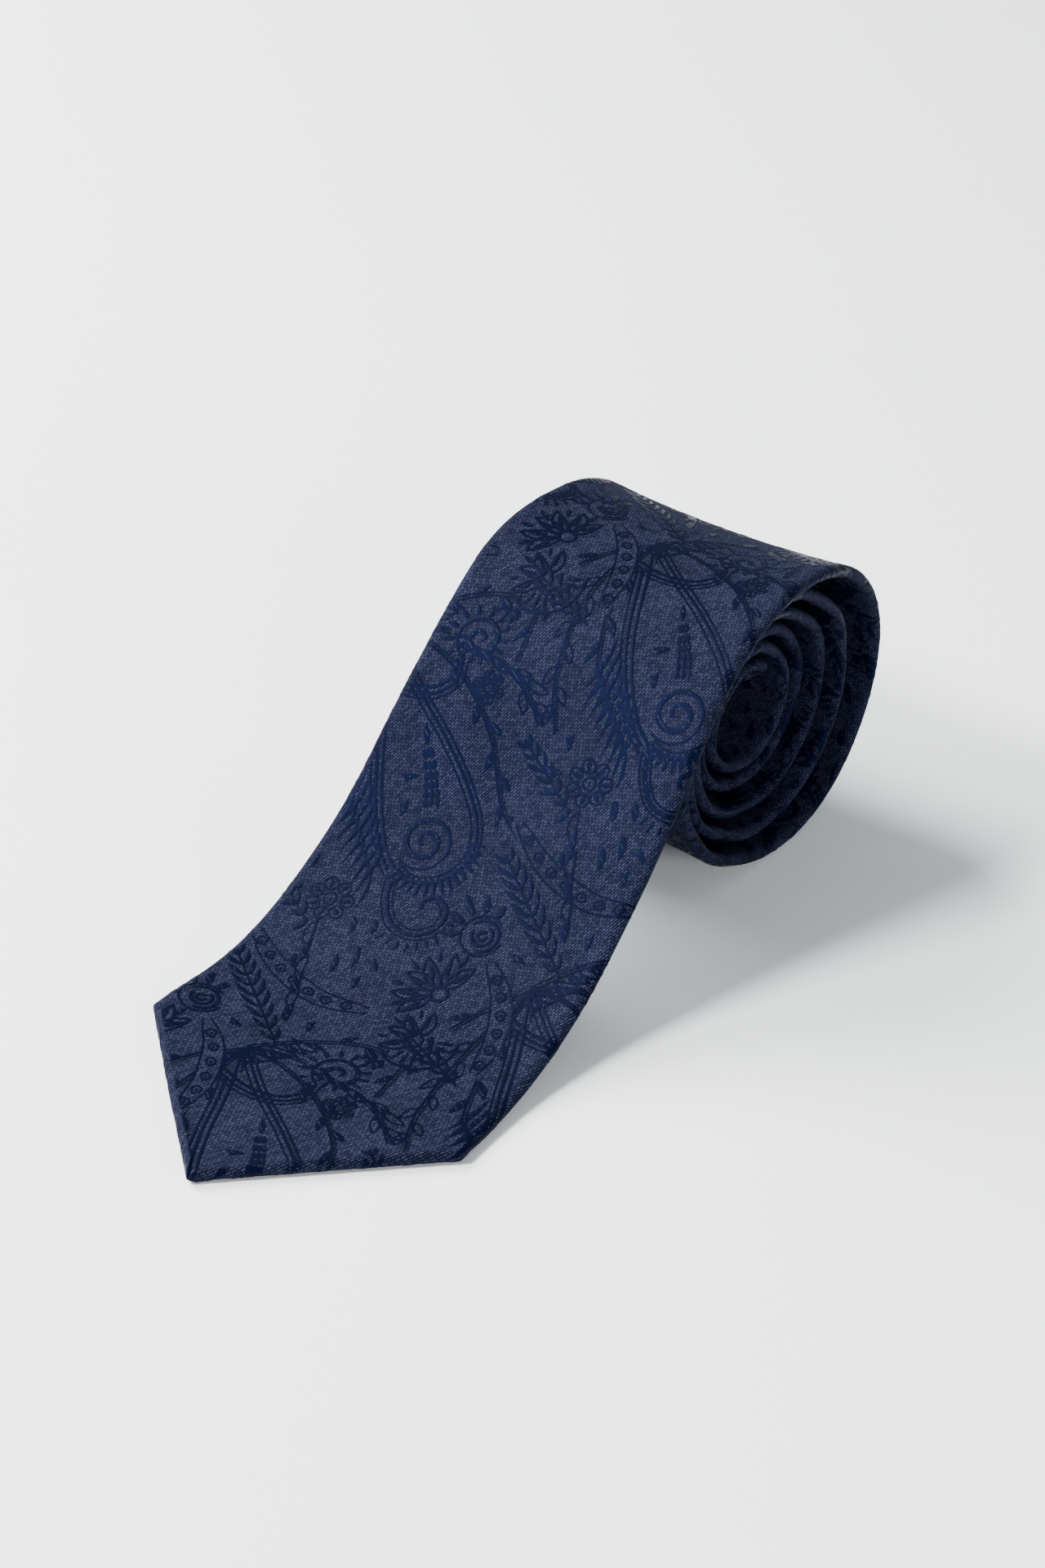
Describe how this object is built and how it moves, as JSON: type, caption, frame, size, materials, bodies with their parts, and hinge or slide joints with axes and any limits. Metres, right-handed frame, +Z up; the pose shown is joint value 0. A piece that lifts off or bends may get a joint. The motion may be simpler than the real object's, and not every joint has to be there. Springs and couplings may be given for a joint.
{
  "type": "necktie",
  "caption": "Rolled jacquard necktie: a lined, folded silk strand wound in a loose spiral, its wide pointed blade sloping off the roll onto the table.",
  "frame": {"origin": "centre of the footprint, on the table", "axes": "+X along the axis of the roll and across the blade, -Y towards the blade's point, +Z up"},
  "size_m": [0.09, 0.2498, 0.0843],
  "materials": {
    "jacquard_silk": "silk jacquard, greyish navy twill ground with dark satin figure",
    "wool_interlining": "brushed undyed wool blend",
    "tipping_silk": "smooth navy lining silk",
    "sewing_thread": "navy silk thread"
  },
  "bodies": {
    "roll": {"shell_wide_roll": "jacquard_silk", "shell_neck": "jacquard_silk", "shell_tail": "jacquard_silk", "interlining_roll": "wool_interlining", "tipping_tail": "tipping_silk", "slip_stitch_roll": "sewing_thread", "bar_tack_tail": "sewing_thread"},
    "front_blade": {"shell_wide_front": "jacquard_silk", "interlining_front": "wool_interlining", "tipping_wide_front": "tipping_silk", "slip_stitch_front": "sewing_thread", "bar_tack_wide": "sewing_thread", "keeper_loop": "jacquard_silk"},
    "blade_tip": {"shell_wide_tip": "jacquard_silk", "interlining_tip": "wool_interlining", "tipping_wide_tip": "tipping_silk"}
  },
  "joints": [
    {"name": "blade_lift", "type": "hinge", "parent": "roll", "child": "front_blade", "pos_m": [0, 0.07789, 0.08427], "axis": [-1, 0, 0], "range_deg": [0, 45]},
    {"name": "tip_lift", "type": "hinge", "parent": "front_blade", "child": "blade_tip", "pos_m": [0, -0.06946, 0.00344], "axis": [-1, 0, 0], "range_deg": [0, 60]}
  ]
}
